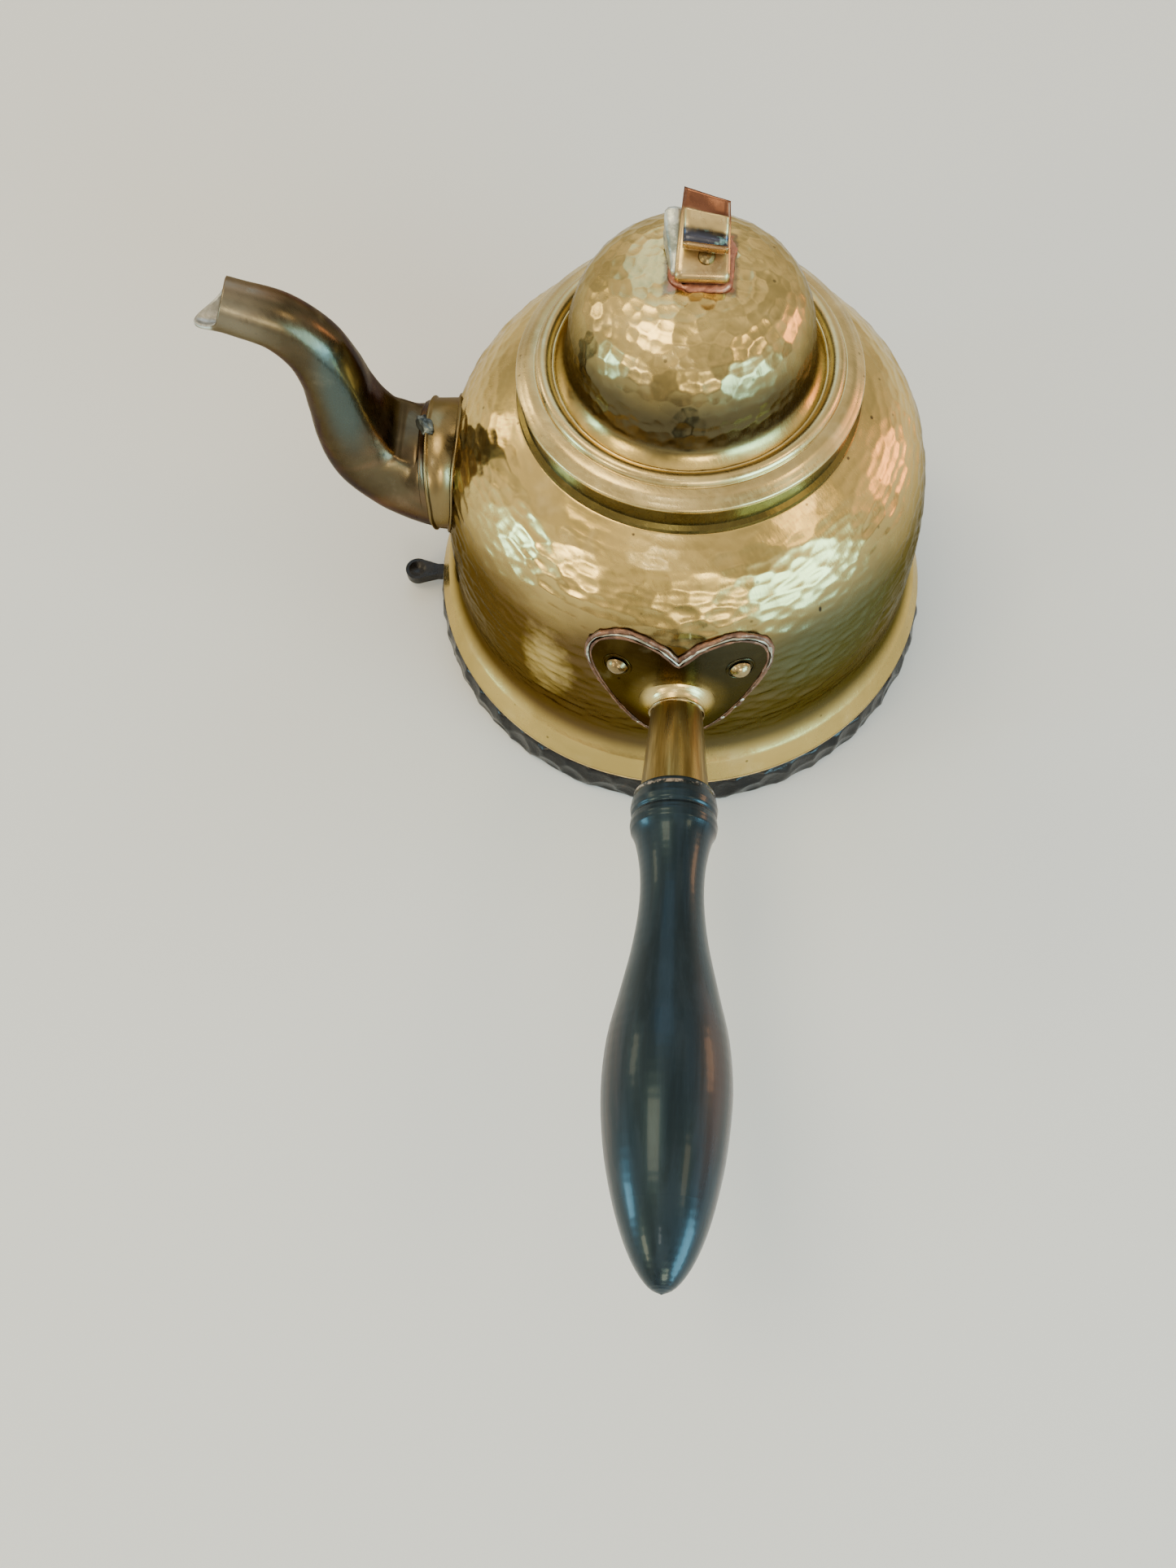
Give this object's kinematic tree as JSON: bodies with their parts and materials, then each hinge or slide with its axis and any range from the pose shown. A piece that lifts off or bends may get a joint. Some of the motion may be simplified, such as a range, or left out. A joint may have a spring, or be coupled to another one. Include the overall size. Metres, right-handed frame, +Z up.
{
  "type": "side-handled coffee kettle",
  "caption": "Hammered brass side-handled coffee pot with swan-neck spout, lift-off domed lid, dark turned grip and iron stand ring.",
  "frame": {"origin": "on the vessel's axis, in the plane of the surface that the iron ring stands on", "axes": "+Z up along the vessel's axis; the handle points to -Y and the spout to -X"},
  "size_m": [0.192, 0.2832, 0.1468],
  "materials": {
    "brass_hammered": "hand-hammered, aged, semi-bright",
    "brass_sheet": "spun or planished, semi-bright",
    "brass_dull": "tarnished, heat-browned",
    "brass_socket": "drawn tube with fine lengthwise lines",
    "copper_braze": "rough braze metal and pink oxide",
    "tin_solder": "soft grey solder, lumpy",
    "dark_grip": "black polish over dark turned wood, worn brown at the edges",
    "iron": "black, forged, glossy oil finish"
  },
  "bodies": {
    "trivet": {"trivet_ring": "iron", "trivet_lug": "iron"},
    "pot": {"base_pan": "brass_sheet", "vessel_wall": "brass_hammered", "vessel_shoulder": "brass_hammered", "neck_collar": "brass_sheet", "spout_collar": "brass_dull", "spout_elbow": "brass_dull", "spout_neck": "brass_dull", "handle_plate": "brass_sheet", "plate_braze": "copper_braze", "handle_rivets": "brass_sheet", "handle_socket": "brass_socket", "handle_grip": "dark_grip", "grip_pin": "brass_socket"},
    "lid": {"lid_brim": "brass_sheet", "lid_dome": "brass_hammered", "lid_bezel": "brass_sheet", "finial_solder": "tin_solder", "finial_strap": "brass_sheet", "finial_scroll": "brass_dull", "finial_rivet": "brass_dull"}
  },
  "joints": [
    {"name": "pot_lift", "type": "slide", "parent": "trivet", "child": "pot", "axis": [0, 0, 1], "range_m": [0, 0.06]},
    {"name": "lid_lift", "type": "slide", "parent": "pot", "child": "lid", "axis": [0, 0, 1], "range_m": [0, 0.06]}
  ]
}
